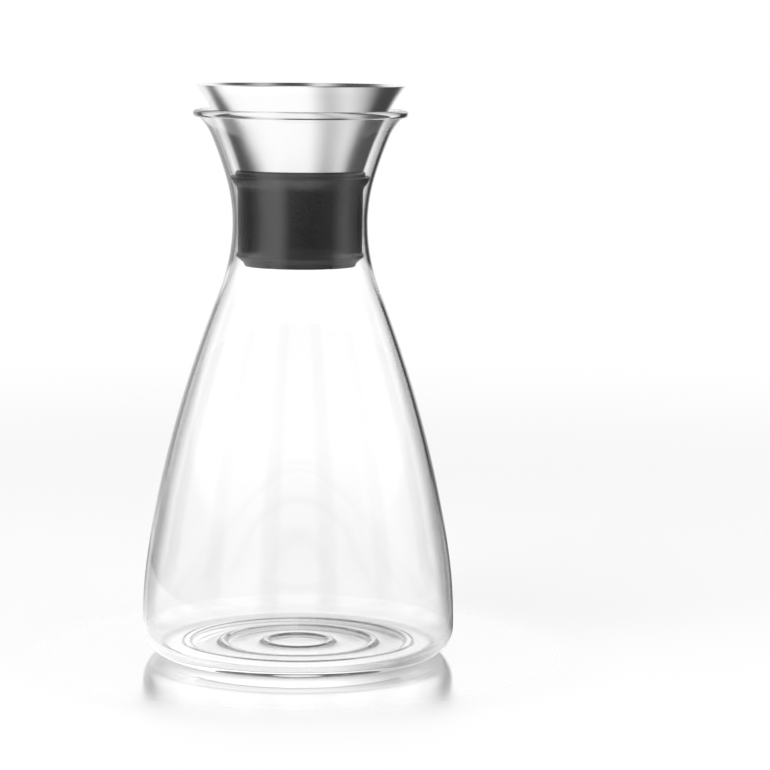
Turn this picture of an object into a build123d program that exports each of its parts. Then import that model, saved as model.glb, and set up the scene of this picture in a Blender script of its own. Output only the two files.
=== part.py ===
from build123d import *
import os

os.makedirs("parts", exist_ok=True)

# Glass body, heights from the table and radii from the upright axis
glass_wall = 1.5
wide_radius = 74.0
corner_radius = 13.0
belly_height = 48.0
belly_radius = 71.6
middle_height = 92.0
middle_radius = 63.2
cone_height = 136.0
cone_radius = 50.8
waist_height = 204.5
waist_radius = 31.8
rim_bead_radius = 1.8

# Shoulder, neck and rim of the glass, measured from the waist
shoulder_drop = 32.5
shoulder_widening = 6.1
neck_rise = 21.5
neck_widening = 3.1
flare_rise = 40.5
flare_widening = 9.8
rim_rise = 49.5
rim_widening = 16.1

# Thick glass bottom with its rings
foot_inner_radius = 52.0
floor_height = 4.6
underside_rise = 1.6
ring_radii = (53.0, 36.0, 15.5)
ring_half_width = 3.5
ring_rise = 0.8

# Steel pouring funnel, measured from the top of the collar and the funnel's throat
funnel_rise = 39.1
funnel_wall = 0.8
throat_ledge = 3.1
mouth_widening = 18.9
funnel_middle_rise = 21.5
funnel_middle_widening = 8.3
throat_slope = 0.32
funnel_neck_length = 21.5
funnel_neck_fillet = 0.6

# Rubber collar, whose top stands above the waist of the glass
collar_rise = 25.0
collar_length = 43.3
collar_thickness = 2.2
collar_top_chamfer = 1.4
lip_width = 3.0
fin_drop = 3.1
fin_thickness = 0.7
fin_taper = 5.6
fin_root_fillet = 2.0
fin_search = 1.0
bore_samples = 40
lip_rise = 3.4
lip_thickness = 0.8
neck_clearance = 0.3

# Barrel and the ring that clamps the collar
barrel_drop = 3.5
clamp_foot = 2.0
barrel_wall = 4.0
cup_wall = 1.8
cup_depth = 4.0
seat_thickness = 2.0
seat_width = 5.0
thread_wall = 1.6
thread_length = 9.0
fit_clearance = 0.05
notch_count = 6
notch_width = 3.0
notch_depth = 1.5

# Tilting lid
lid_gap = 0.3
lid_inset = 3.6
plate_thickness = 0.7
crown_rise = 0.8
crown_margin = 2.5
carrier_thickness = 1.4
seal_thickness = 1.1
seal_width = 1.8
seal_chamfer = 0.3
pin_radius = 0.8
pin_length = 9.2
pin_inset = 2.0
pin_chamfer = 0.2
knuckle_radius = 1.4
knuckle_width = 4.8
ear_gap = 0.3

# Counterweight under the lid
weight_offset = 9.0
weight_radius = 5.5
weight_length = 10.0
weight_chamfer = 1.1
post_radius = 2.6
post_length = 18.0
screw_radius = 1.5
screw_head_radius = 2.8
screw_head_height = 2.0
screw_grip = 6.0
socket_width = 2.5
socket_depth = 1.2

# Heights and radii that follow the waist
shoulder_height = waist_height - shoulder_drop
shoulder_radius = waist_radius + shoulder_widening
neck_height = waist_height + neck_rise
neck_radius = waist_radius + neck_widening
flare_height = waist_height + flare_rise
flare_radius = waist_radius + flare_widening
rim_height = waist_height + rim_rise
rim_radius = waist_radius + rim_widening
waist_bore = waist_radius - glass_wall

# Heights that follow the collar, which stands in the waist
collar_top = waist_height + collar_rise
collar_bottom = collar_top - collar_length
fin_height = collar_top - fin_drop
lip_height = collar_bottom + lip_rise
funnel_top = collar_top + funnel_rise
funnel_middle_height = collar_top + funnel_middle_rise
funnel_neck_bottom = collar_top - funnel_neck_length
barrel_top = collar_top - barrel_drop
barrel_bottom = collar_bottom - clamp_foot
seat_height = barrel_top - cup_depth

# Radii that follow the collar
lip_radius = waist_bore - neck_clearance
sleeve_radius = lip_radius - lip_width
collar_radius = sleeve_radius + collar_thickness
throat_radius = sleeve_radius + throat_ledge
funnel_middle_radius = throat_radius + funnel_middle_widening
mouth_radius = throat_radius + mouth_widening
tube_bore = sleeve_radius - funnel_wall
barrel_bore = sleeve_radius - barrel_wall
thread_radius = barrel_bore + thread_wall
seat_bore = barrel_bore - seat_width
cup_bore = tube_bore - cup_wall
lid_radius = cup_bore - lid_inset
pin_offset = cup_bore - pin_inset


def tangent_arcs(points, heading):
    """One arc from each point to the next, the first along heading and each tangent to the last."""
    arcs = []
    for start, end in zip(points, points[1:]):
        arcs.append(TangentArc(start, end, tangent=heading))
        heading = arcs[-1] % 1
    return arcs


def beside(arc, steps, distance):
    """The arc at a distance to the left of the given one, through its points at the given steps."""
    points = []
    for step in steps:
        place = arc @ step
        heading = arc % step
        points.append(Vector(place.X - heading.Y * distance, place.Y + heading.X * distance))
    return ThreePointArc(*points)


# Glass body: one wall turned about the axis, with a thick ringed floor and a bead round the rim
inner_corner_radius = corner_radius - floor_height
bead_rise = rim_bead_radius + (rim_bead_radius**2 - (glass_wall / 2) ** 2) ** 0.5
with BuildPart() as glass_body:
    with BuildSketch(Plane.XZ):
        with BuildLine():
            upper = tangent_arcs(
                [
                    (waist_radius, waist_height),
                    (neck_radius, neck_height),
                    (flare_radius, flare_height),
                    (rim_radius, rim_height),
                ],
                (0, 1),
            )
            lower = tangent_arcs(
                [
                    (waist_radius, waist_height),
                    (shoulder_radius, shoulder_height),
                    (cone_radius, cone_height),
                    (middle_radius, middle_height),
                    (belly_radius, belly_height),
                    (wide_radius, corner_radius),
                ],
                (0, -1),
            )
            inside = [beside(arc, (1, 0.5, 0), glass_wall) for arc in upper[::-1]]
            inside += [beside(arc, (0, 0.5, 1), -glass_wall) for arc in lower]
            rim_middle = (upper[-1] @ 1 + inside[0] @ 0) / 2
            rim_top = rim_middle + (upper[-1] % 1) * bead_rise
            ThreePointArc(upper[-1] @ 1, rim_top, inside[0] @ 0)
            wall_foot = inside[-1] @ 1
            floor_edge = (wall_foot.X - inner_corner_radius, floor_height)
            RadiusArc(wall_foot, floor_edge, inner_corner_radius)
            last = floor_edge
            for radius in ring_radii:
                ring_outer = (radius + ring_half_width, floor_height)
                ring_inner = (radius - ring_half_width, floor_height)
                Line(last, ring_outer)
                ThreePointArc(ring_outer, (radius, floor_height + ring_rise), ring_inner)
                last = ring_inner
            Polyline(last, (0, floor_height), (0, underside_rise))
            TangentArc((0, underside_rise), (foot_inner_radius, 0), tangent=(1, 0))
            Line((foot_inner_radius, 0), (wide_radius - corner_radius, 0))
            RadiusArc((wide_radius - corner_radius, 0), (wide_radius, corner_radius), -corner_radius)
        make_face()
    revolve(axis=Axis.Z)
glass_body.part.label = "glass_body"

# Steel funnel: a flared cone with a shoulder on the collar and a short neck
shoulder_top = collar_top + funnel_wall
with BuildPart() as pour_funnel:
    with BuildSketch(Plane.XZ):
        with BuildLine():
            flare = tangent_arcs(
                [
                    (throat_radius, collar_top),
                    (funnel_middle_radius, funnel_middle_height),
                    (mouth_radius, funnel_top),
                ],
                (throat_slope, 1),
            )
            cone_inside = [beside(arc, (1, 0.5, 0), funnel_wall) for arc in flare[::-1]]
            Line(flare[-1] @ 1, cone_inside[0] @ 0)
            Polyline(
                cone_inside[-1] @ 1,
                (throat_radius - funnel_wall, shoulder_top),
                (tube_bore, shoulder_top),
                (tube_bore, funnel_neck_bottom),
                (sleeve_radius, funnel_neck_bottom),
                (sleeve_radius, collar_top),
                (throat_radius, collar_top),
            )
        make_face()
    revolve(axis=Axis.Z)
    shoulder_edges = pour_funnel.edges().filter_by(GeomType.CIRCLE).filter_by_position(
        Axis.Z, shoulder_top, shoulder_top
    )
    fillet(shoulder_edges.filter_by(lambda edge: edge.radius < sleeve_radius), funnel_neck_fillet)
pour_funnel.part.label = "pour_funnel"

# Rubber collar: a sleeve with one thin fin that seals on the flare and a lip near the waist
bore_points = [arc @ (step / bore_samples) for arc in inside for step in range(bore_samples + 1)]
fin_reach = fin_thickness + fin_search
bore_at_fin = min(point.X for point in bore_points if abs(point.Y - fin_height) < fin_reach)
fin_radius = bore_at_fin - neck_clearance
with BuildPart() as stopper_collar:
    with BuildSketch(Plane.XZ):
        with BuildLine():
            Polyline(
                (sleeve_radius, collar_top),
                (collar_radius, collar_top),
                (collar_radius + collar_top_chamfer, collar_top - collar_top_chamfer),
                (collar_radius + collar_top_chamfer, fin_height),
                (fin_radius, fin_height),
                (fin_radius, fin_height - fin_thickness),
                (collar_radius + fin_thickness / 2, fin_height - fin_taper),
                (collar_radius, lip_height + 2 * lip_thickness),
                (lip_radius, lip_height),
                (lip_radius, lip_height - lip_thickness),
                (sleeve_radius, collar_bottom),
                (sleeve_radius, collar_top),
            )
        make_face()
    revolve(axis=Axis.Z)
    fin_root = stopper_collar.edges().filter_by(GeomType.CIRCLE).filter_by_position(
        Axis.Z, fin_height - fin_taper, fin_height - fin_taper
    )
    fillet(fin_root, fin_root_fillet)
stopper_collar.part.label = "stopper_collar"

# Barrel: plastic tube with the lid's seat, a cup for the lid and two ears for the pin
thread_top = barrel_bottom + thread_length
pin_height = seat_height + lid_gap + seal_thickness + carrier_thickness / 2
with BuildPart() as valve_barrel:
    with BuildSketch(Plane.XZ):
        Polygon(
            (thread_radius, barrel_bottom),
            (thread_radius, thread_top),
            (sleeve_radius, thread_top),
            (sleeve_radius, funnel_neck_bottom),
            (tube_bore, funnel_neck_bottom),
            (tube_bore, barrel_top),
            (cup_bore, barrel_top),
            (cup_bore, seat_height),
            (seat_bore, seat_height),
            (seat_bore, seat_height - seat_thickness),
            (barrel_bore, seat_height - seat_thickness - (barrel_bore - seat_bore) / 2),
            (barrel_bore, barrel_bottom),
            align=None,
        )
    revolve(axis=Axis.Z)
    ear_width = (pin_length - knuckle_width) / 2 - ear_gap
    for side in (-1, 1):
        ear_centre = side * (knuckle_width / 2 + ear_gap + ear_width / 2)
        with BuildSketch(Plane.XZ.offset(-ear_centre)):
            with Locations((-pin_offset, pin_height)):
                Circle(knuckle_radius)
            with Locations((-(pin_offset + cup_bore) / 2, (pin_height + seat_height) / 2)):
                Rectangle(cup_bore - pin_offset, pin_height - seat_height)
            with Locations((-pin_offset, (pin_height + seat_height) / 2)):
                Rectangle(knuckle_radius, pin_height - seat_height)
        extrude(amount=ear_width / 2, both=True)
    with Locations(Plane.XZ * Location((-pin_offset, pin_height, 0))):
        Cylinder(pin_radius, pin_length, mode=Mode.SUBTRACT)
valve_barrel.part.label = "valve_barrel"

# Clamp ring: screws on the barrel from below and holds the collar up against the shoulder
ring_outer = sleeve_radius - fit_clearance
ring_bore = thread_radius + fit_clearance
with BuildPart() as clamp_ring:
    with BuildSketch(Plane.XZ):
        Polygon(
            (ring_bore, barrel_bottom),
            (ring_outer - (collar_bottom - barrel_bottom) / 2, barrel_bottom),
            (ring_outer, collar_bottom),
            (ring_outer, thread_top - fit_clearance),
            (ring_bore, thread_top - fit_clearance),
            align=None,
        )
    revolve(axis=Axis.Z)
    with PolarLocations(ring_outer, notch_count):
        with Locations((0, 0, barrel_bottom)):
            Box(notch_width, notch_width, 2 * notch_depth, mode=Mode.SUBTRACT)
clamp_ring.part.label = "clamp_ring"

# Hinge pin across the back of the seat
with BuildPart() as hinge_pin:
    with Locations(Plane.XZ * Location((-pin_offset, pin_height, 0))):
        Cylinder(pin_radius, pin_length)
    chamfer(hinge_pin.edges().filter_by(GeomType.CIRCLE), pin_chamfer)
hinge_pin.part.label = "hinge_pin"

# Lid: steel plate, plastic carrier with its knuckle and post, and the seal beneath
seal_bottom = seat_height + lid_gap
carrier_bottom = seal_bottom + seal_thickness
plate_bottom = carrier_bottom + carrier_thickness
post_bottom = carrier_bottom - post_length
seal_radius = lid_radius - knuckle_radius / 2
plate_rim = lid_radius - plate_thickness / 2
plate_top = plate_bottom + plate_thickness
with BuildPart() as lid_plate:
    with BuildSketch(Plane.XZ):
        with BuildLine():
            Polyline((0, plate_top + crown_rise), (0, plate_bottom), (lid_radius, plate_bottom))
            plate_side = (lid_radius, plate_bottom + plate_thickness / 2)
            Line((lid_radius, plate_bottom), plate_side)
            RadiusArc(plate_side, (plate_rim, plate_top), -plate_thickness / 2)
            crown_edge = (plate_rim - crown_margin, plate_top)
            Line((plate_rim, plate_top), crown_edge)
            TangentArc((0, plate_top + crown_rise), crown_edge, tangent=(1, 0))
        make_face()
    revolve(axis=Axis.Z)
lid_plate.part.label = "lid_plate"

with BuildPart() as lid_carrier:
    with BuildSketch(Plane.XY.offset(carrier_bottom)):
        Circle(seal_radius)
    extrude(amount=carrier_thickness)
    with BuildSketch(Plane.XY.offset(seal_bottom)):
        Circle(seal_radius - seal_width - fit_clearance)
    extrude(amount=seal_thickness)
    with BuildSketch(Plane.XZ):
        with Locations((-pin_offset, pin_height)):
            Circle(knuckle_radius)
        with Locations((-(pin_offset + seal_radius) / 2, pin_height)):
            Rectangle(pin_offset - seal_radius + seal_width, carrier_thickness)
    extrude(amount=knuckle_width / 2, both=True)
    with Locations(Plane.XZ * Location((-pin_offset, pin_height, 0))):
        Cylinder(pin_radius + fit_clearance, knuckle_width * 2, mode=Mode.SUBTRACT)
    with BuildSketch(Plane.XY.offset(seal_bottom)):
        with Locations((-weight_offset, 0)):
            Circle(post_radius)
    extrude(amount=post_bottom - seal_bottom)
    with Locations((-weight_offset, 0, post_bottom + screw_grip / 2)):
        Cylinder(screw_radius, screw_grip, mode=Mode.SUBTRACT)
lid_carrier.part.label = "lid_carrier"

with BuildPart() as lid_seal:
    with BuildSketch(Plane.XY.offset(seal_bottom)):
        Circle(seal_radius)
        Circle(seal_radius - seal_width, mode=Mode.SUBTRACT)
    extrude(amount=seal_thickness)
    chamfer(lid_seal.edges().group_by(Axis.Z)[0], seal_chamfer)
lid_seal.part.label = "lid_seal"

# Counterweight and the screw that holds it to the post
weight_bottom = post_bottom - weight_length
with BuildPart() as counterweight:
    with BuildSketch(Plane.XY.offset(weight_bottom)):
        with Locations((-weight_offset, 0)):
            Circle(weight_radius)
            Circle(screw_radius + fit_clearance, mode=Mode.SUBTRACT)
    extrude(amount=weight_length)
    chamfer(
        counterweight.edges()
        .filter_by(GeomType.CIRCLE)
        .filter_by(lambda edge: edge.radius > weight_radius - fit_clearance),
        weight_chamfer,
    )
counterweight.part.label = "counterweight"

with BuildPart() as weight_screw:
    with BuildSketch(Plane.XY.offset(weight_bottom - screw_head_height)):
        with Locations((-weight_offset, 0)):
            Circle(screw_head_radius)
    extrude(amount=screw_head_height)
    with BuildSketch(Plane.XY.offset(weight_bottom)):
        with Locations((-weight_offset, 0)):
            Circle(screw_radius)
    extrude(amount=weight_length + screw_grip)
    with BuildSketch(Plane.XY.offset(weight_bottom - screw_head_height)):
        with Locations((-weight_offset, 0)):
            RegularPolygon(socket_width / 2, 6, major_radius=False)
    extrude(amount=socket_depth, mode=Mode.SUBTRACT)
weight_screw.part.label = "weight_screw"

for piece in (
    glass_body,
    pour_funnel,
    stopper_collar,
    valve_barrel,
    clamp_ring,
    hinge_pin,
    lid_plate,
    lid_carrier,
    lid_seal,
    counterweight,
    weight_screw,
):
    export_step(piece.part, f"parts/{piece.part.label}.step")
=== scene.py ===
# %% [markdown]
# # A glass carafe with a steel pouring funnel
# The carafe is a blown glass bottle with a waist. A stopper sits in its neck: a
# steel funnel, a rubber collar that grips the glass, and a lid that tips open when
# the carafe is tilted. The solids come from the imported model. This lesson gives the
# turned pieces smooth meshes, and every surface the finish of its material.

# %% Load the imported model
import math

import bpy
from mathutils import Matrix, Vector


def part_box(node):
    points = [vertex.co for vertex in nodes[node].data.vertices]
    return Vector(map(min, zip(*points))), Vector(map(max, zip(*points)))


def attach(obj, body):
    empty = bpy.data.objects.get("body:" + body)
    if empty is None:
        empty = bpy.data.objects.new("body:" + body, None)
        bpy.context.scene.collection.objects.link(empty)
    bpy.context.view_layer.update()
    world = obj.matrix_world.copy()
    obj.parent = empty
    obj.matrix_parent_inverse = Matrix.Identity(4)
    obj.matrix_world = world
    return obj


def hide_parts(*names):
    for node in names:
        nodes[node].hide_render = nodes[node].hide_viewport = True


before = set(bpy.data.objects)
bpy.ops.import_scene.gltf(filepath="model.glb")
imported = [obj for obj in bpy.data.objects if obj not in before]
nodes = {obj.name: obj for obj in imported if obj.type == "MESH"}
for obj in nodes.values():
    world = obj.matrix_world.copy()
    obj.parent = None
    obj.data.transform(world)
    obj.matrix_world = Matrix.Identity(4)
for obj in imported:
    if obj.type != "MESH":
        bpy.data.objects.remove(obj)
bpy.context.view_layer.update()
MM = 0.001

# %% [markdown]
# ## Turned pieces
# Glass is blown in a mould and steel is spun on a lathe, so both are round about the
# upright axis. A mesh made of loose triangles would show facets in a clear or polished
# surface. Turning one clean outline gives rings of even faces, and the outline is a
# chain of arcs, each tangent to the last, as on the drawing of such a piece.


# %% Arcs and the lathe
ROUND_STEPS = 144
WELD = MM / 500
SMOOTH_ANGLE = math.radians(35)


def arc_points(start, end, heading, count):
    """Points on the arc from start to end that leaves along heading, and its heading at the end."""
    start, end, heading = Vector(start), Vector(end), Vector(heading).normalized()
    chord = end - start
    along = chord.normalized()
    half_turn = math.atan2(heading.cross(along), heading.dot(along))
    radius = chord.length / 2 / math.sin(half_turn)
    side = Vector((-heading.y, heading.x))
    points = []
    for step in range(1, count + 1):
        turn = 2 * half_turn * step / count
        points.append(start + radius * (math.sin(turn) * heading + (1 - math.cos(turn)) * side))
    return points, 2 * heading.dot(along) * along - heading


def tangent_outline(stations, heading, count):
    """A chain of tangent arcs through the stations, and the heading at each of its points."""
    points, headings = [Vector(stations[0])], [Vector(heading).normalized()]
    for start, end in zip(stations, stations[1:]):
        arc, heading = arc_points(start, end, headings[-1], count)
        for step, place in enumerate(arc):
            points.append(place)
            blend = (step + 1) / count
            headings.append(headings[-1 - step].lerp(heading, blend).normalized())
    return points, headings


def beside(points, headings, distance):
    """The outline's inner side, from its end back to its start."""
    inner = [p + Vector((-h.y, h.x)) * distance for p, h in zip(points, headings)]
    return inner[::-1]


def deselect():
    bpy.ops.object.select_all(action="DESELECT")


def turned(name, outline, steps=ROUND_STEPS):
    """Draws an outline of (radius, height) points in millimetres and spins it about the axis."""
    deselect()
    bpy.ops.mesh.primitive_plane_add(size=MM)
    piece = bpy.context.object
    piece.name = piece.data.name = name
    bpy.ops.object.mode_set(mode="EDIT")
    bpy.ops.mesh.merge(type="CENTER")
    places = [Vector((radius, 0, height)) * MM for radius, height in outline]
    bpy.ops.transform.translate(value=places[0])
    for last, place in zip(places, places[1:]):
        bpy.ops.mesh.extrude_region_move(TRANSFORM_OT_translate={"value": place - last})
    bpy.ops.mesh.select_all(action="SELECT")
    bpy.ops.mesh.spin(steps=steps, angle=math.tau, center=(0, 0, 0), axis=(0, 0, 1))
    bpy.ops.mesh.select_all(action="SELECT")
    bpy.ops.mesh.remove_doubles(threshold=WELD)
    bpy.ops.mesh.normals_make_consistent(inside=False)
    bpy.ops.object.mode_set(mode="OBJECT")
    bpy.ops.object.shade_smooth_by_angle(angle=SMOOTH_ANGLE)
    print(name, len(piece.data.polygons), "faces")
    return piece


# %% [markdown]
# ## The glass
# The wall is one and a half millimetres thick all the way up, and the bottom is thicker,
# with three raised rings that the mould leaves. Both sides of the wall are modelled,
# because light bends at each of them, and that draws part of the dark edges of glass;
# the rest of that darkness is painted shade in the glass material.

# %% Glass outline
WALL = 1.5
WIDE_RADIUS = 74.0
CORNER = 13.0
FLOOR = 4.6
FOOT_INNER = 52.0
UNDERSIDE_RISE = 1.6
RINGS = (53.0, 36.0, 15.5)
RING_HALF_WIDTH = 3.5
RING_RISE = 0.8
BEAD = 1.8
ARC_STEPS = 12
GLASS_ROUND_STEPS = 192
waist = (31.8, 204.5)
above = [waist, (34.9, 226.0), (41.6, 245.0), (47.9, 254.0)]
below = [waist, (37.9, 172.0), (50.8, 136.0), (63.2, 92.0), (71.6, 48.0), (WIDE_RADIUS, CORNER)]
upper, upper_headings = tangent_outline(above, (0, 1), ARC_STEPS)
lower, lower_headings = tangent_outline(below, (0, -1), ARC_STEPS)
wall_outside = lower[:0:-1] + upper
wall_headings = [-heading for heading in lower_headings[:0:-1]] + upper_headings
wall_inside = beside(wall_outside, wall_headings, WALL)

# %% Rim bead
BEAD_STEPS = 20
rim_middle = (wall_outside[-1] + wall_inside[0]) / 2
outward = (wall_outside[-1] - rim_middle).normalized()
bead_rise = math.sqrt(BEAD**2 - (WALL / 2) ** 2)
bead_centre = rim_middle + wall_headings[-1] * bead_rise
dip = math.atan2(bead_rise, WALL / 2)
rim = []
for step in range(1, BEAD_STEPS):
    turn = -dip + (math.pi + 2 * dip) * step / BEAD_STEPS
    rim.append(bead_centre + BEAD * (math.cos(turn) * outward + math.sin(turn) * wall_headings[-1]))

# %% Glass bottom
RING_STEPS = 8
FLOOR_MIDDLE = 6.0
UNDERSIDE_STEPS = 10
FOOT_EDGE = 4.0


def quarter(centre, radius, start, end, count=10):
    """Points on a circle from one angle to another, in degrees."""
    turns = [math.radians(start + (end - start) * step / count) for step in range(count + 1)]
    return [Vector((centre[0] + radius * math.cos(t), centre[1] + radius * math.sin(t))) for t in turns]


inner_corner = CORNER - FLOOR
floor_edge = WIDE_RADIUS - WALL - inner_corner
bottom = quarter((floor_edge, CORNER), inner_corner, 0, -90)[1:]
for ring in RINGS:
    for step in range(RING_STEPS + 1):
        across = 1 - 2 * step / RING_STEPS
        rise = RING_RISE * (0.5 + 0.5 * math.cos(math.pi * across))
        bottom.append(Vector((ring + across * RING_HALF_WIDTH, FLOOR + rise)))
bottom += [Vector((FLOOR_MIDDLE, FLOOR)), Vector((0, FLOOR)), Vector((0, UNDERSIDE_RISE))]
for step in range(1, UNDERSIDE_STEPS + 1):
    share = step / UNDERSIDE_STEPS
    bottom.append(Vector((FOOT_INNER * share, UNDERSIDE_RISE * (1 - share * share))))
bottom += [Vector((WIDE_RADIUS - CORNER - FOOT_EDGE, 0))]
bottom += quarter((WIDE_RADIUS - CORNER, CORNER), CORNER, -90, 0)
glass = turned("carafe_glass", wall_outside + rim + wall_inside + bottom, GLASS_ROUND_STEPS)
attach(glass, "carafe")
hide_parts("glass_body")

# %% [markdown]
# ## The funnel
# The funnel is drawn from sheet steel less than a millimetre thick, so its top edge is
# crisp. It ends in a flat shoulder that sits on the collar, and a short tube below.

# %% Funnel outline
SHEET = 0.8
COLLAR_TOP = 229.5
TUBE_RADIUS = 27.0
TUBE_BOTTOM = 208.0
CONE_FOOT = 30.1
CONE_LEAN = (0.32, 1)
CONE_STEPS = 14
BEND_REACH = 0.5
BEND_DROP = 0.15
cone_stations = [(CONE_FOOT, COLLAR_TOP), (38.4, 251.0), (49.0, 268.6)]
cone_outside, cone_headings = tangent_outline(cone_stations, CONE_LEAN, CONE_STEPS)
cone_inside = beside(cone_outside, cone_headings, SHEET)
shoulder = [
    (CONE_FOOT - SHEET, COLLAR_TOP + SHEET),
    (TUBE_RADIUS, COLLAR_TOP + SHEET),
    (TUBE_RADIUS - BEND_REACH, COLLAR_TOP + SHEET - BEND_DROP),
    (TUBE_RADIUS - SHEET, COLLAR_TOP),
    (TUBE_RADIUS - SHEET, TUBE_BOTTOM),
    (TUBE_RADIUS, TUBE_BOTTOM),
    (TUBE_RADIUS, COLLAR_TOP),
    (CONE_FOOT, COLLAR_TOP),
]
funnel = turned("funnel_cone", cone_outside + cone_inside[:-1] + shoulder)
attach(funnel, "stopper")
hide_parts("pour_funnel")

# %% [markdown]
# ## The collar
# The collar is moulded rubber. A thin fin near its top bends against the flare of the
# glass, and a lip below centres it. The corners of a moulding are slightly rounded, so
# the outline is given a small bevel after it has been turned.

# %% Collar outline
FIN_HEIGHT = 226.4
FIN_THICKNESS = 0.7
SLEEVE_RADIUS = 29.2
TOP_RADIUS = 30.6
TOP_CHAMFER = 1.4
LIP_RADIUS = 30.0
SLEEVE_BOTTOM = 186.2
EDGE_ROUND = 0.22 * MM
EDGE_SEGMENTS = 3
SHARP_ANGLE = math.radians(20)
fin_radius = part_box("stopper_collar")[1].x / MM
collar_outline = [
    (TUBE_RADIUS, COLLAR_TOP),
    (SLEEVE_RADIUS, COLLAR_TOP),
    (TOP_RADIUS, COLLAR_TOP - TOP_CHAMFER),
    (TOP_RADIUS, FIN_HEIGHT),
    (fin_radius, FIN_HEIGHT),
    (fin_radius, FIN_HEIGHT - FIN_THICKNESS),
    (31.6, FIN_HEIGHT - 2.9),
    (30.2, FIN_HEIGHT - 4.6),
    (29.5, FIN_HEIGHT - 6.6),
    (SLEEVE_RADIUS, SLEEVE_BOTTOM + 5.0),
    (LIP_RADIUS, SLEEVE_BOTTOM + 3.4),
    (LIP_RADIUS, SLEEVE_BOTTOM + 2.6),
    (TUBE_RADIUS, SLEEVE_BOTTOM),
    (TUBE_RADIUS, COLLAR_TOP),
]
collar = turned("collar_sleeve", collar_outline)
deselect()
collar.select_set(True)
bpy.context.view_layer.objects.active = collar
bevel = collar.modifiers.new("moulded edge", "BEVEL")
bevel.width = EDGE_ROUND
bevel.segments = EDGE_SEGMENTS
bevel.limit_method = "ANGLE"
bevel.angle_limit = SHARP_ANGLE
bpy.ops.object.modifier_apply(modifier=bevel.name)
bpy.ops.object.shade_smooth_by_angle(angle=SMOOTH_ANGLE)
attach(collar, "stopper")
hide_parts("stopper_collar")
print("collar", len(collar.data.polygons), "faces")

# %% [markdown]
# ## Shader arithmetic
# A finish is a small sum of patterns. Python's own operators make such a sum readable,
# so one class wraps a socket: an operator on it adds the Math node that does the work.


# %% A socket that can be added and multiplied
class Wire:
    def __init__(self, tree, socket=None):
        self.tree, self.socket = tree, socket

    def node(self, kind, settings=None, output=0, **sockets):
        """Adds a node: its settings are set first, then each socket's value or link."""
        made = self.tree.nodes.new(kind)
        for key, value in (settings or {}).items():
            if key == "stops":
                ramp = made.color_ramp.elements
                while len(ramp) < len(value):
                    ramp.new(0.5)
                for element, (place, level) in zip(ramp, value):
                    element.position = place
                    element.color = grey(level)
            else:
                setattr(made, key, value)
        for key, value in sockets.items():
            name = key.replace("_", " ")
            socket = made.inputs[int(key[1:])] if key[1:].isdigit() else made.inputs[name]
            if isinstance(value, Wire):
                self.tree.links.new(value.socket, socket)
            else:
                socket.default_value = value
        return Wire(self.tree, made.outputs[output])

    def math(self, operation, a, b=0.0):
        return self.node("ShaderNodeMath", {"operation": operation}, s0=a, s1=b)

    def ramp(self, value, low, high, bottom=0.0, top=1.0):
        """A soft step of the value, from bottom at low to top at high."""
        return self.node(
            "ShaderNodeMapRange",
            {"interpolation_type": "SMOOTHSTEP"},
            Value=value,
            From_Min=low,
            From_Max=high,
            To_Min=bottom,
            To_Max=top,
        )

    def __add__(self, other):
        return self.math("ADD", self, other)

    def __sub__(self, other):
        return self.math("SUBTRACT", self, other)

    def __mul__(self, other):
        return self.math("MULTIPLY", self, other)

    def __rsub__(self, other):
        return self.math("SUBTRACT", other, self)

    def __truediv__(self, other):
        return self.math("DIVIDE", self, other)

    __radd__ = __add__
    __rmul__ = __mul__


def new_material(name):
    """A material with an empty Principled shader: the start of a sum, and the shader's node."""
    material = bpy.data.materials.new(name)
    material.use_nodes = True
    shader = material.node_tree.nodes["Principled BSDF"]
    return material, Wire(material.node_tree), shader


def feed(wire, shader, socket):
    wire.tree.links.new(wire.socket, shader.inputs[socket])


def dress(piece, material):
    piece.data.materials.clear()
    piece.data.materials.append(material)


def finish(material, shader, share, other):
    """Mixes another shader over the Principled one and feeds the material's output."""
    own = Wire(share.tree, shader.outputs[0])
    mix = share.node("ShaderNodeMixShader", Fac=share, s1=own, s2=other)
    outlet = material.node_tree.nodes["Material Output"]
    share.tree.links.new(mix.socket, outlet.inputs["Surface"])


def grey(level):
    return (level, level, level, 1)


def light_paths(start, *names):
    """One socket of the Light Path node for each name."""
    outputs = start.node("ShaderNodeLightPath").socket.node.outputs
    return [Wire(start.tree, outputs[name]) for name in names]


def seen_by(start):
    """Whether a surface is seen by the camera, by a reflection, or through something clear."""
    names = ("Is Camera Ray", "Is Glossy Ray", "Is Transmission Ray")
    is_camera, is_glossy, is_clear = light_paths(start, *names)
    return is_camera, is_glossy * (1 - is_clear), is_clear
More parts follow.
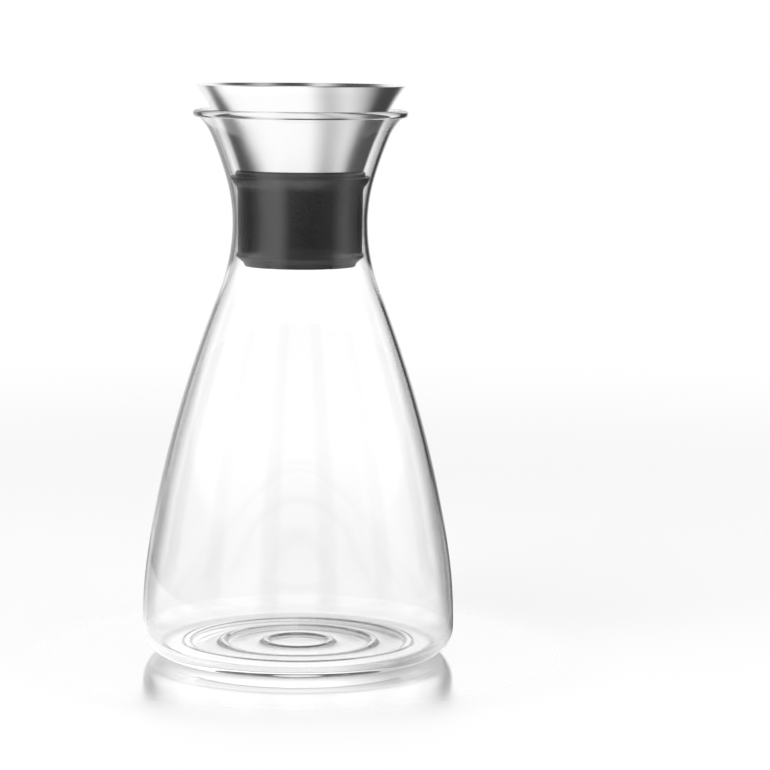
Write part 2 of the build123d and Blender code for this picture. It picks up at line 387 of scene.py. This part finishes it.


# %% [markdown]
# ## Clear glass
# Soda glass bends light by about one and a half. A wall seen almost edge on is painted
# darker by the angle it is seen at: painted shade for the dark edges. The steep slopes of
# the rings on the floor get painted shade too, and a wall seen edge on by a mirror ray is
# painted darker, so that this reflection stays weaker than what shines through.
#
# Light that has already met the stopper passes straight through the neck, and so does
# the lamps' light, which keeps the steel and rubber inside as clear as they are outside.
# The inner side of the foot's outer corner lets most mirror rays pass as well. Without
# that, the corner would gather them into a black band.

# %% Glass material
# Each pair is where a soft step starts and where it ends, in metres for the heights and
# the distances from the axis.
# The tones by angle below are painted shade: the glass is painted darker the more edge on it is seen.
PAINTED_EDGE_TONES = [(0.00, 0.99), (0.58, 0.97), (0.72, 0.55), (0.78, 0.75), (0.86, 0.16), (1.00, 0.05)]
EDGE_SHADE_STARTS = (0.006, 0.03)
FLANK_TILT = (0.992, 0.95)
FLANK_RADIUS = (0.060, 0.058)
FLANK_HEIGHT = (0.007, 0.006)
FLANK_SHADE = 0.9
SIDE_FACING = (0.35, 0.7)
SIDE_SHADE = 0.85
FOOT_HEIGHT = (0.02, 0.014)
FOOT_RADIUS = (0.060, 0.064)
FOOT_PASSES = 0.75
NECK_HEIGHT = (0.165, 0.18)
GLASS_BEND = 1.49
clear, start, shader = new_material("clear_glass")
shader.inputs["Roughness"].default_value = 0.0
shader.inputs["IOR"].default_value = GLASS_BEND
shader.inputs["Transmission Weight"].default_value = 1.0
place = start.node("ShaderNodeTexCoord", output=3)
height = start.node("ShaderNodeSeparateXYZ", output=2, Vector=place)
flat = start.node("ShaderNodeVectorMath", {"operation": "MULTIPLY"}, s0=place, s1=(1, 1, 0))
radius = start.node("ShaderNodeVectorMath", {"operation": "LENGTH"}, output=1, s0=flat)
normal = start.node("ShaderNodeTexCoord", output=1)
tilt = start.node("ShaderNodeSeparateXYZ", output=2, Vector=normal)
facing = start.node("ShaderNodeLayerWeight", output=1, Blend=0.5)
is_mirror = seen_by(start)[1]

# Painted shade: the glass is darker where it is seen almost edge on.
edge = start.node("ShaderNodeValToRGB", {"stops": PAINTED_EDGE_TONES}, Fac=facing)
painted_edge_shade = (1 - edge) * start.ramp(height, *EDGE_SHADE_STARTS)
# Painted shade on the steep slopes of the rings on the glass floor.
flanks = start.ramp(tilt, *FLANK_TILT) * start.ramp(radius, *FLANK_RADIUS)
flanks = flanks * start.ramp(height, *FLANK_HEIGHT)
# Painted shade: a wall seen almost edge on by a mirror ray is painted darker.
sides = start.ramp(facing, *SIDE_FACING) * is_mirror
feed(1 - painted_edge_shade - flanks * FLANK_SHADE - sides * SIDE_SHADE, shader, "Base Color")
wave = start.node("ShaderNodeTexNoise", Vector=place, Scale=28.0, Detail=1.0)
bump = start.node("ShaderNodeBump", Height=wave, Strength=0.02, Distance=0.0015)
feed(bump, shader, "Normal")

is_shadow, is_diffuse = light_paths(start, "Is Shadow Ray", "Is Diffuse Ray")
within = start.node("ShaderNodeNewGeometry", output=6)
foot = start.ramp(height, *FOOT_HEIGHT) * start.ramp(radius, *FOOT_RADIUS) * within * FOOT_PASSES
open_part = start.math("MAXIMUM", start.ramp(height, *NECK_HEIGHT), foot)
lamp_light = start.math("MAXIMUM", is_shadow, is_diffuse)
passing = start.math("MAXIMUM", lamp_light, is_mirror * open_part)
straight = start.node("ShaderNodeBsdfTransparent", Color=grey(0.97))
finish(clear, shader, passing, straight)
dress(glass, clear)

# %% [markdown]
# ## Satin steel
# The sheet is brushed round and round on a lathe. The marks are long in the direction of
# the turn and very short up and down, so the noise is squeezed along the axis.

# %% Steel material
MARK_SPREAD = 0.16
CLOUD_SPREAD = 0.08
DARK_MARK = 0.93


def satin_steel(name, colour, roughness, squeeze):
    """Steel with turned brush marks; squeeze is how much finer the marks are along the axis."""
    material, start, shader = new_material(name)
    place = start.node("ShaderNodeTexCoord", output=3)
    fine = start.node("ShaderNodeMapping", Vector=place, Scale=(12, 12, squeeze))
    marks = start.node("ShaderNodeTexNoise", Vector=fine, Scale=6.0, Detail=4.0, Roughness=0.65)
    cloud = start.node("ShaderNodeTexNoise", Vector=place, Scale=40.0, Detail=2.0)
    feed(roughness + (marks - 0.5) * MARK_SPREAD + (cloud - 0.5) * CLOUD_SPREAD, shader, "Roughness")
    tone = start.node(
        "ShaderNodeMix",
        {"data_type": "RGBA"},
        output=2,
        s0=marks,
        s6=tuple(DARK_MARK * part for part in colour) + (1,),
        s7=colour + (1,),
    )
    feed(tone, shader, "Base Color")
    bump = start.node("ShaderNodeBump", Height=marks, Strength=0.08, Distance=0.0001)
    feed(bump, shader, "Normal")
    shader.inputs["Metallic"].default_value = 1.0
    return material


funnel_steel = satin_steel("satin_funnel_steel", (0.97, 0.97, 0.97), 0.22, 900)
turned_steel = satin_steel("turned_pin_steel", (0.78, 0.78, 0.79), 0.26, 1800)
dress(funnel, funnel_steel)

# %% [markdown]
# ## Rubber and plastic
# The collar's rubber is nearly black with a fine cloudy grain left by the mould. Soft
# lights spread over it as dull grey bands, so it is rough but not dead flat.

# %% Moulded materials
BROADER = 12
FINE_SHARE = 0.7
DULLNESS_SPREAD = 0.5


def moulded(name, dark, light, roughness, grain, depth, shine=0.5):
    """A moulded finish: two tones, a grain of the given scale and its depth in metres."""
    material, start, shader = new_material(name)
    place = start.node("ShaderNodeTexCoord", output=3)
    fine = start.node("ShaderNodeTexNoise", Vector=place, Scale=grain, Detail=5.0, Roughness=0.7)
    broad = start.node("ShaderNodeTexNoise", Vector=place, Scale=grain / BROADER, Detail=2.0)
    mixed = fine * FINE_SHARE + broad * (1 - FINE_SHARE)
    tone = start.node(
        "ShaderNodeMix", {"data_type": "RGBA"}, output=2, s0=mixed, s6=dark + (1,), s7=light + (1,)
    )
    feed(tone, shader, "Base Color")
    feed(roughness + (mixed - 0.5) * DULLNESS_SPREAD, shader, "Roughness")
    feed(start.node("ShaderNodeBump", Height=fine, Strength=0.8, Distance=depth), shader, "Normal")
    shader.inputs["Specular IOR Level"].default_value = shine
    return material


black, charcoal = (0.003, 0.003, 0.003), (0.01, 0.01, 0.01)
rubber = moulded("collar_black_rubber", black, charcoal, 0.36, 450, 0.0006, 0.75)
night, slate = (0.012, 0.012, 0.013), (0.03, 0.03, 0.032)
plastic = moulded("barrel_black_plastic", night, slate, 0.38, 1600, 0.0001)
ash, smoke = (0.1, 0.1, 0.1), (0.16, 0.16, 0.16)
silicone = moulded("lid_grey_silicone", ash, smoke, 0.55, 700, 0.0001)
dress(collar, rubber)
for node in ("valve_barrel", "clamp_ring", "lid_carrier"):
    dress(nodes[node], plastic)
for node in ("hinge_pin", "counterweight", "weight_screw"):
    dress(nodes[node], turned_steel)
dress(nodes["lid_plate"], funnel_steel)
dress(nodes["lid_seal"], silicone)
print("materials", len(bpy.data.materials))

# %% [markdown]
# ## The camera
# The flattened circles of the rim and the base give the camera's height, and how they
# change from top to bottom gives its distance: a long lens, a little above the rim.

# %% Camera
PHOTO_SIDE = 770
SENSOR_WIDTH = 36
FOCAL_PIXELS = 2889
CAMERA_DISTANCE = 1.358
CAMERA_HEIGHT = 0.291
PITCH = math.radians(6.85)
YAW = math.radians(1.71)
ROLL = math.radians(0.5)
bpy.ops.object.camera_add()
camera = bpy.context.object
camera.data.sensor_width = SENSOR_WIDTH
camera.data.lens = FOCAL_PIXELS * SENSOR_WIDTH / PHOTO_SIDE
stand = Matrix.Translation((0, -CAMERA_DISTANCE, CAMERA_HEIGHT))
aim = Matrix.Rotation(-YAW, 4, "Z") @ Matrix.Rotation(math.pi / 2 - PITCH, 4, "X")
camera.matrix_world = stand @ aim @ Matrix.Rotation(ROLL, 4, "Z")
bpy.context.scene.camera = camera

# %% [markdown]
# ## The studio
# Clear glass is lit through a bright background, with darker stretches to the sides that
# the edges pick up. The white that the camera sees is plain. What a mirror ray sees goes
# by direction: bright panels and dark gaps round the axis, under a bright band low in the
# sky, which is dimmed in front so that the collar stays black. What is seen through the
# glass comes in lanes, one at every eighth of a turn.

# %% World
# A panel's place is a share of a turn, where a half faces the camera, with its brightness.
PANELS = [
    (0.00, 1.0), (0.09, 1.0), (0.12, 0.1), (0.285, 0.05), (0.34, 0.8), (0.41, 0.9), (0.455, 0.04),
    (0.65, 0.04), (0.685, 0.6), (0.73, 0.6), (0.77, 0.05), (0.925, 0.06), (0.955, 1.0), (1.00, 1.0),
]
TABLE_PANELS = [
    (0.00, 0.7), (0.08, 0.6), (0.13, 1.0), (0.20, 1.14), (0.54, 1.14), (0.625, 0.55), (0.71, 0.9),
    (0.77, 0.6), (0.83, 0.05), (0.92, 0.08), (1.00, 0.5),
]
LANE_COUNT = 8
LANE_EDGES = (-0.85, -0.25)
LANE_LEVELS = (0.1, 1.12)
FRONT_START = (0.32, 0.36)
FRONT_END = (0.68, 0.64)
FRONT_SHADE = 0.85
BAND_START = (0.12, 0.17)
BAND_END = (0.7, 0.5)
AMBIENT = 0.8


def around(start, place):
    """The direction round the axis as a share of a turn: half faces the camera."""
    across = start.node("ShaderNodeSeparateXYZ", Vector=place)
    back = Wire(start.tree, across.socket.node.outputs[1])
    return start.math("ARCTAN2", across, back * -1.0) / math.tau + 0.5


def lanes(turn):
    """Bright lanes at equal parts of a turn, with dark strips between them."""
    swing = turn.math("COSINE", turn * (LANE_COUNT * math.tau))
    return turn.ramp(swing, *LANE_EDGES, *LANE_LEVELS)


scene = bpy.context.scene
scene.view_settings.view_transform = "Standard"
world = bpy.data.worlds.new("studio")
scene.world = world
world.use_nodes = True
world.node_tree.nodes.clear()
start = Wire(world.node_tree)
direction = start.node("ShaderNodeTexCoord", output=0)
turn = around(start, direction)
panels = start.node("ShaderNodeValToRGB", {"stops": PANELS}, Fac=turn)
rise = start.node("ShaderNodeSeparateXYZ", output=2, Vector=direction)
front = start.ramp(turn, *FRONT_START) * start.ramp(turn, *FRONT_END)
band = start.ramp(rise, *BAND_START) * start.ramp(rise, *BAND_END) * (1 - front * FRONT_SHADE)
is_camera, is_mirror, is_clear = seen_by(start)
mirrored = panels * (1 - band) + band
level = mirrored * is_mirror + lanes(turn) * is_clear + is_camera
plain = (1 - is_camera) * (1 - is_mirror) * (1 - is_clear) * AMBIENT
background = start.node("ShaderNodeBackground", Color=grey(1), Strength=level + plain)
output = world.node_tree.nodes.new("ShaderNodeOutputWorld")
world.node_tree.links.new(background.socket, output.inputs["Surface"])

# %% [markdown]
# ## The table
# The table shines near the carafe and is dull further out, where the camera sees it
# melt into the white. Mirror rays that meet it see panels of its own close by, and the
# world's panels far out. The pairs are again the start and end of a soft step.

# %% Table
TABLE_RADIUS = 1.6
TABLE_CORNERS = 96
TABLE_GREY = 0.95
TABLE_BEND = 1.45
DULL_STARTS, DULLNESS = (0.08, 0.18), (0.05, 0.6)
MIRROR_ENDS, MIRROR_SHARES = (0.10, 0.16), (0.6, 0.0)
OUTER_STARTS = (0.38, 0.46)
WHITE_STARTS = (0.35, 1.3)
LANES_START = (0.25, 0.8)
CLEAR_SHARE = 0.8
deselect()
bpy.ops.mesh.primitive_circle_add(vertices=TABLE_CORNERS, radius=TABLE_RADIUS, fill_type="NGON")
table = bpy.context.object
table.name = "table"
white, start, shader = new_material("white_table")
shader.inputs["Base Color"].default_value = grey(TABLE_GREY)
shader.inputs["IOR"].default_value = TABLE_BEND
place = start.node("ShaderNodeTexCoord", output=3)
distance = start.node("ShaderNodeVectorMath", {"operation": "LENGTH"}, output=1, s0=place)
feed(start.ramp(distance, *DULL_STARTS, *DULLNESS), shader, "Roughness")
feed(start.ramp(distance, *MIRROR_ENDS, *MIRROR_SHARES), shader, "Metallic")
turn = around(start, place)
table_panels = start.node("ShaderNodeValToRGB", {"stops": TABLE_PANELS}, Fac=turn)
outer_panels = start.node("ShaderNodeValToRGB", {"stops": PANELS}, Fac=turn)
outer = start.ramp(distance, *OUTER_STARTS)
is_camera, is_mirror, is_clear = seen_by(start)
mirrored = table_panels * (1 - outer) + outer_panels * outer
strips = 1 - (1 - lanes(turn)) * start.ramp(distance, *LANES_START)
seen = mirrored * is_mirror + strips * is_clear + is_camera
glow = start.node("ShaderNodeEmission", Color=grey(1), Strength=seen)
reflected = start.math("MAXIMUM", is_mirror, is_clear * CLEAR_SHARE)
glowing = start.math("MAXIMUM", start.ramp(distance, *WHITE_STARTS) * is_camera, reflected)
finish(white, shader, glowing, glow)
dress(table, white)

# %% Lamps
LAMP_TARGET = (0, 0, 0.12)


def softbox(name, place, size, power):
    """A square soft lamp that faces the middle of the carafe and stays out of reflections."""
    bpy.ops.object.light_add(type="AREA", location=place)
    lamp = bpy.context.object
    lamp.name = name
    lamp.data.size = size
    lamp.data.energy = power
    way = Vector(LAMP_TARGET) - Vector(place)
    lamp.rotation_euler = way.to_track_quat("-Z", "Y").to_euler()
    lamp.visible_glossy = False
    lamp.visible_transmission = False
    lamp.visible_camera = False


softbox("key_lamp", place=(-0.9, -0.9, 1.6), size=1.2, power=12)
softbox("fill_lamp", place=(1.2, -0.6, 1.2), size=1.2, power=5)
